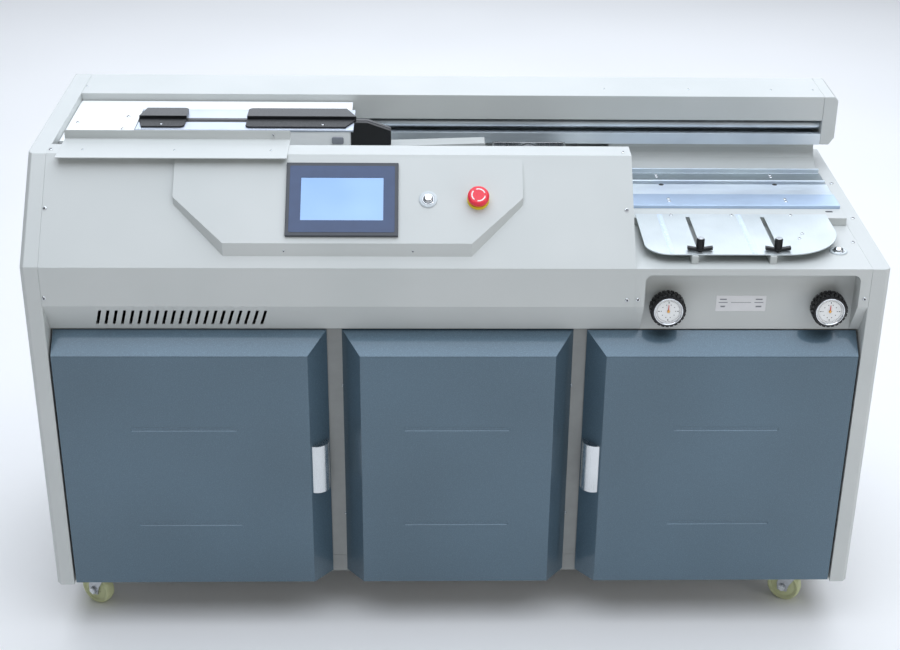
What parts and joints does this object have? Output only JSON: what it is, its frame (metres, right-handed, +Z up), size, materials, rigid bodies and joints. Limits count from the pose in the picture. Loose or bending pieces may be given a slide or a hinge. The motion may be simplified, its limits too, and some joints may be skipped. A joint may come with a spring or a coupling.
{
  "type": "perfect binding machine",
  "caption": "Floor-standing perfect binding machine: slanted control console, clamp carriage on a rear beam, nipping table, three front covers and swivel castors.",
  "frame": {"origin": "on the floor, under the middle of the cabinet", "axes": "+Z up, +X to the right seen from the front, -Y towards the operator"},
  "size_m": [1.6, 0.63, 0.988],
  "materials": {
    "grey_paint": "satin textured",
    "blue_paint": "gloss metallic",
    "white_paint": "satin",
    "black_paint": "satin",
    "aluminium": "anodised",
    "steel": "brushed",
    "chrome": "polished",
    "black_plastic": "moulded",
    "screen_plastic": "moulded",
    "red_plastic": "moulded",
    "yellow_plastic": "moulded",
    "clear_plastic": "moulded",
    "wheel_nylon": "moulded",
    "belt_rubber": "matt"
  },
  "bodies": {
    "cabinet": {"left_side_panel": "grey_paint", "right_side_panel": "grey_paint", "cabinet_frame": "grey_paint", "back_panel": "grey_paint", "power_inlet": "black_plastic", "console_cover": "grey_paint", "control_panel": "grey_paint", "touch_screen": "screen_plastic", "button_rings": "clear_plastic", "estop_base": "yellow_plastic", "support_tray": "grey_paint", "beam_cover": "grey_paint", "beam_end_cap": "grey_paint", "guide_rails": "steel", "drive_belt": "belt_rubber", "drive_motor": "black_paint", "table_top": "grey_paint", "cover_platform": "grey_paint", "cover_feed_plate": "steel", "nip_rear_jaw": "steel", "nip_rear_sheet": "grey_paint", "machine_bed": "grey_paint", "milling_guard": "grey_paint", "milling_motor": "black_paint", "glue_tank": "aluminium", "electrical_box": "grey_paint", "door_hinges": "steel", "middle_cover": "blue_paint", "castor_plates": "steel"},
    "carriage": {"carriage_frame": "white_paint", "rear_clamp_plate": "aluminium", "rear_jaw": "black_paint"},
    "front_clamp": {"front_jaw": "black_paint", "front_clamp_plate": "aluminium", "front_clamp_box": "white_paint"},
    "nip_front_jaw": {"nip_front_jaw": "steel"},
    "nip_bottom_plate": {"nip_bottom_plate": "steel"},
    "left_handwheel": {"left_handwheel": "black_plastic"},
    "right_handwheel": {"right_handwheel": "black_plastic"},
    "power_button": {"power_button": "chrome"},
    "start_button": {"start_button": "chrome"},
    "estop_button": {"estop_button": "red_plastic"},
    "left_stop": {"left_stop": "black_plastic"},
    "right_stop": {"right_stop": "black_plastic"},
    "left_stop_knob": {"left_stop_knob": "black_plastic"},
    "right_stop_knob": {"right_stop_knob": "black_plastic"},
    "milling_cutter": {"milling_cutter": "steel"},
    "glue_roller": {"glue_roller": "steel"},
    "left_door": {"left_door": "blue_paint", "left_door_handle": "aluminium"},
    "right_door": {"right_door": "blue_paint", "right_door_handle": "aluminium"},
    "castor_fork_front_left": {"castor_fork_front_left": "steel"},
    "castor_wheel_front_left": {"castor_wheel_front_left": "wheel_nylon"},
    "castor_fork_front_right": {"castor_fork_front_right": "steel"},
    "castor_wheel_front_right": {"castor_wheel_front_right": "wheel_nylon"},
    "castor_fork_rear_left": {"castor_fork_rear_left": "steel"},
    "castor_wheel_rear_left": {"castor_wheel_rear_left": "wheel_nylon"},
    "castor_fork_rear_right": {"castor_fork_rear_right": "steel"},
    "castor_wheel_rear_right": {"castor_wheel_rear_right": "wheel_nylon"}
  },
  "joints": [
    {"name": "carriage_travel", "type": "slide", "parent": "cabinet", "child": "carriage", "axis": [1, 0, 0], "range_m": [0, 0.88]},
    {"name": "clamp_close", "type": "slide", "parent": "carriage", "child": "front_clamp", "axis": [0, -1, 0], "range_m": [0, 0.06]},
    {"name": "nip_close", "type": "slide", "parent": "cabinet", "child": "nip_front_jaw", "axis": [0, 1, 0], "range_m": [0, 0.011]},
    {"name": "nip_lift", "type": "slide", "parent": "cabinet", "child": "nip_bottom_plate", "axis": [0, 0, 1], "range_m": [0, 0.008]},
    {"name": "left_handwheel_turn", "type": "hinge", "parent": "cabinet", "child": "left_handwheel", "pos_m": [0.393, -0.311, 0.7165], "axis": [0, 1, 0], "continuous": true},
    {"name": "right_handwheel_turn", "type": "hinge", "parent": "cabinet", "child": "right_handwheel", "pos_m": [0.6975, -0.311, 0.7165], "axis": [0, 1, 0], "continuous": true},
    {"name": "power_button_press", "type": "slide", "parent": "cabinet", "child": "power_button", "axis": [0, 0.6602, -0.7511], "range_m": [0, 0.003], "stiffness_N_per_m": 400},
    {"name": "start_button_press", "type": "slide", "parent": "cabinet", "child": "start_button", "axis": [0, 0, -1], "range_m": [0, 0.003], "stiffness_N_per_m": 400},
    {"name": "estop_press", "type": "slide", "parent": "cabinet", "child": "estop_button", "axis": [0, 0.6602, -0.7511], "range_m": [0, 0.004], "stiffness_N_per_m": 800},
    {"name": "left_stop_slide", "type": "slide", "parent": "cabinet", "child": "left_stop", "axis": [0, 1, 0], "range_m": [-0.005, 0.144]},
    {"name": "left_stop_knob_turn", "type": "hinge", "parent": "left_stop", "child": "left_stop_knob", "pos_m": [0.449, -0.271, 0.831], "axis": [0, 0, 1], "continuous": true},
    {"name": "right_stop_slide", "type": "slide", "parent": "cabinet", "child": "right_stop", "axis": [0, 1, 0], "range_m": [-0.005, 0.144]},
    {"name": "right_stop_knob_turn", "type": "hinge", "parent": "right_stop", "child": "right_stop_knob", "pos_m": [0.595, -0.271, 0.831], "axis": [0, 0, 1], "continuous": true},
    {"name": "cutter_spin", "type": "hinge", "parent": "cabinet", "child": "milling_cutter", "pos_m": [-0.036, 0.076, 0.867], "axis": [0, 0, 1], "continuous": true},
    {"name": "glue_roller_spin", "type": "hinge", "parent": "cabinet", "child": "glue_roller", "pos_m": [0.151, 0.076, 0.861], "axis": [0, 1, 0], "continuous": true},
    {"name": "left_door_hinge", "type": "hinge", "parent": "cabinet", "child": "left_door", "pos_m": [-0.752, -0.307, 0.367], "axis": [0, 0, -1], "range_deg": [0, 95]},
    {"name": "right_door_hinge", "type": "hinge", "parent": "cabinet", "child": "right_door", "pos_m": [0.752, -0.307, 0.367], "axis": [0, 0, 1], "range_deg": [0, 95]},
    {"name": "castor_swivel_front_left", "type": "hinge", "parent": "cabinet", "child": "castor_fork_front_left", "pos_m": [-0.719, -0.235, 0.09], "axis": [0, 0, 1], "continuous": true},
    {"name": "castor_roll_front_left", "type": "hinge", "parent": "castor_fork_front_left", "child": "castor_wheel_front_left", "pos_m": [-0.73979, -0.223, 0.035], "axis": [0.5, 0.866, 0], "continuous": true},
    {"name": "castor_swivel_front_right", "type": "hinge", "parent": "cabinet", "child": "castor_fork_front_right", "pos_m": [0.719, -0.235, 0.09], "axis": [0, 0, 1], "continuous": true},
    {"name": "castor_roll_front_right", "type": "hinge", "parent": "castor_fork_front_right", "child": "castor_wheel_front_right", "pos_m": [0.69822, -0.223, 0.035], "axis": [0.5, 0.866, 0], "continuous": true},
    {"name": "castor_swivel_rear_left", "type": "hinge", "parent": "cabinet", "child": "castor_fork_rear_left", "pos_m": [-0.719, 0.235, 0.09], "axis": [0, 0, 1], "continuous": true},
    {"name": "castor_roll_rear_left", "type": "hinge", "parent": "castor_fork_rear_left", "child": "castor_wheel_rear_left", "pos_m": [-0.73979, 0.247, 0.035], "axis": [0.5, 0.866, 0], "continuous": true},
    {"name": "castor_swivel_rear_right", "type": "hinge", "parent": "cabinet", "child": "castor_fork_rear_right", "pos_m": [0.719, 0.235, 0.09], "axis": [0, 0, 1], "continuous": true},
    {"name": "castor_roll_rear_right", "type": "hinge", "parent": "castor_fork_rear_right", "child": "castor_wheel_rear_right", "pos_m": [0.69822, 0.247, 0.035], "axis": [0.5, 0.866, 0], "continuous": true}
  ]
}
